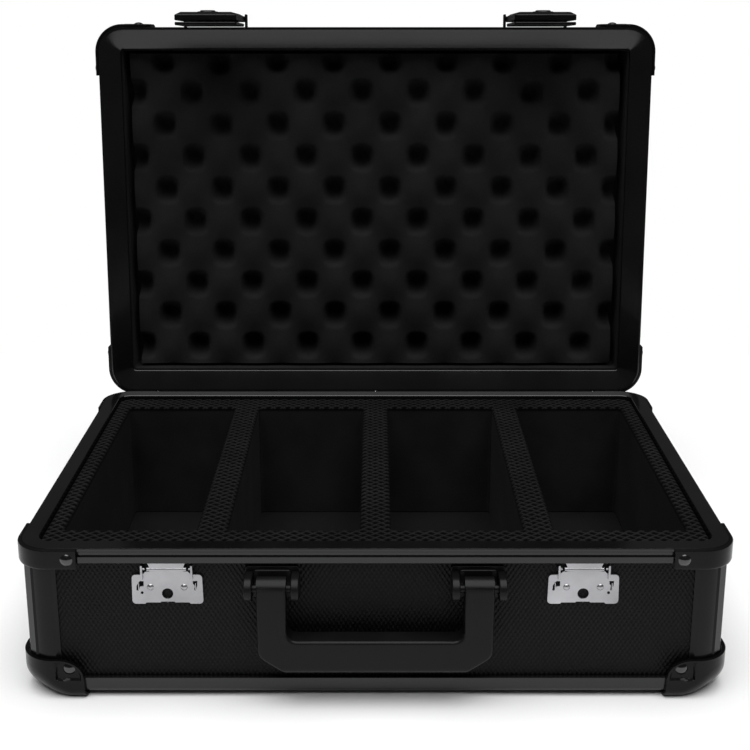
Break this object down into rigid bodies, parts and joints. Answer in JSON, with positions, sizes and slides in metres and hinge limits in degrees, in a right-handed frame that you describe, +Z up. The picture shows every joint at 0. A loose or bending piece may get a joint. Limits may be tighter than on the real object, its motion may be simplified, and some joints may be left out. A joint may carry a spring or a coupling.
{
  "type": "poker chip case",
  "caption": "Black aluminium-framed carrying case, lid open, with a foam insert cut into long rectangular wells, an egg-crate foam lid lining, key latches and a swinging handle.",
  "frame": {"origin": "middle of the bottom panel's flat underside; the corner caps reach 3.5 mm below it as feet", "axes": "+Z up, +Y from the handle side to the hinge side, +X to the right as seen from the handle side"},
  "size_m": [0.458, 0.3956, 0.4198],
  "materials": {
    "frame_metal": "satin black anodised extrusion",
    "corner_metal": "satin black pressed metal",
    "textured_panel": "black laminate with a woven diamond texture",
    "insert_foam": "black foam with a raised diamond lattice on its face",
    "pad_foam": "smooth black foam sheet",
    "egg_crate_foam": "matt black open-cell foam",
    "latch_plate_metal": "satin nickel-plated sheet steel",
    "latch_black_metal": "satin black coated steel",
    "lock_metal": "black coated lock face",
    "handle_plastic": "black moulded plastic",
    "hinge_metal": "black coated steel"
  },
  "bodies": {
    "base": {"base_back_panel": "textured_panel", "base_bottom_panel": "textured_panel", "base_corner_cap_back_left": "corner_metal", "base_corner_cap_back_right": "corner_metal", "base_corner_cap_front_left": "corner_metal", "base_corner_cap_front_right": "corner_metal", "base_edge_rail": "frame_metal", "base_front_panel": "textured_panel", "base_left_panel": "textured_panel", "base_post_back_left": "frame_metal", "base_post_back_right": "frame_metal", "base_post_front_left": "frame_metal", "base_post_front_right": "frame_metal", "base_right_panel": "textured_panel", "base_rim_bracket_back_left": "corner_metal", "base_rim_bracket_back_right": "corner_metal", "base_rim_bracket_front_left": "corner_metal", "base_rim_bracket_front_right": "corner_metal", "base_rim_frame": "frame_metal", "floor_pad": "pad_foam", "foam_insert": "insert_foam", "handle_mount_left": "handle_plastic", "handle_mount_right": "handle_plastic", "hinge_leaf_base_left": "hinge_metal", "hinge_leaf_base_right": "hinge_metal", "latch_keeper_left": "latch_plate_metal", "latch_keeper_right": "latch_plate_metal"},
    "lid": {"lid_back_panel": "textured_panel", "lid_corner_cap_back_left": "corner_metal", "lid_corner_cap_back_right": "corner_metal", "lid_corner_cap_front_left": "corner_metal", "lid_corner_cap_front_right": "corner_metal", "lid_edge_rail": "frame_metal", "lid_foam": "egg_crate_foam", "lid_front_panel": "textured_panel", "lid_left_panel": "textured_panel", "lid_post_back_left": "frame_metal", "lid_post_back_right": "frame_metal", "lid_post_front_left": "frame_metal", "lid_post_front_right": "frame_metal", "lid_right_panel": "textured_panel", "lid_rim_bracket_back_left": "corner_metal", "lid_rim_bracket_back_right": "corner_metal", "lid_rim_bracket_front_left": "corner_metal", "lid_rim_bracket_front_right": "corner_metal", "lid_rim_frame": "frame_metal", "lid_top_panel": "textured_panel", "hinge_leaf_lid_left": "hinge_metal", "hinge_leaf_lid_right": "hinge_metal", "latch_base_left": "latch_black_metal", "latch_base_right": "latch_black_metal"},
    "handle": {"handle_grip": "handle_plastic"},
    "left_lever": {"latch_cover_left": "latch_black_metal", "latch_hook_left": "latch_black_metal"},
    "right_lever": {"latch_cover_right": "latch_black_metal", "latch_hook_right": "latch_black_metal"},
    "left_lock": {"lock_cylinder_left": "lock_metal"},
    "right_lock": {"lock_cylinder_right": "lock_metal"},
    "left_claw": {"latch_claw_left": "latch_plate_metal"},
    "right_claw": {"latch_claw_right": "latch_plate_metal"}
  },
  "joints": [
    {"name": "lid_hinge", "type": "hinge", "parent": "base", "child": "lid", "pos_m": [0, 0.1546, 0.096], "axis": [1, 0, 0], "range_deg": [0, 93.86]},
    {"name": "handle_pivot", "type": "hinge", "parent": "base", "child": "handle", "pos_m": [0, -0.1595, 0.0772], "axis": [1, 0, 0], "range_deg": [-95, 0]},
    {"name": "left_lever_pivot", "type": "hinge", "parent": "lid", "child": "left_lever", "pos_m": [-0.131, 0.19949, 0.40779], "axis": [1, 0, 0], "range_deg": [-100, 0]},
    {"name": "left_lock_turn", "type": "hinge", "parent": "left_lever", "child": "left_lock", "pos_m": [-0.131, 0.1483, 0.40372], "axis": [0, 0.0673, 0.9977], "range_deg": [0, 90]},
    {"name": "left_claw_pivot", "type": "hinge", "parent": "base", "child": "left_claw", "pos_m": [-0.131, -0.15, 0.086], "axis": [1, 0, 0], "range_deg": [0, 25], "stiffness_Nm_per_rad": 0.002, "springref_deg": -11.46},
    {"name": "right_lever_pivot", "type": "hinge", "parent": "lid", "child": "right_lever", "pos_m": [0.131, 0.19949, 0.40779], "axis": [1, 0, 0], "range_deg": [-100, 0]},
    {"name": "right_lock_turn", "type": "hinge", "parent": "right_lever", "child": "right_lock", "pos_m": [0.131, 0.1483, 0.40372], "axis": [0, 0.0673, 0.9977], "range_deg": [0, 90]},
    {"name": "right_claw_pivot", "type": "hinge", "parent": "base", "child": "right_claw", "pos_m": [0.131, -0.15, 0.086], "axis": [1, 0, 0], "range_deg": [0, 25], "stiffness_Nm_per_rad": 0.002, "springref_deg": -11.46}
  ]
}
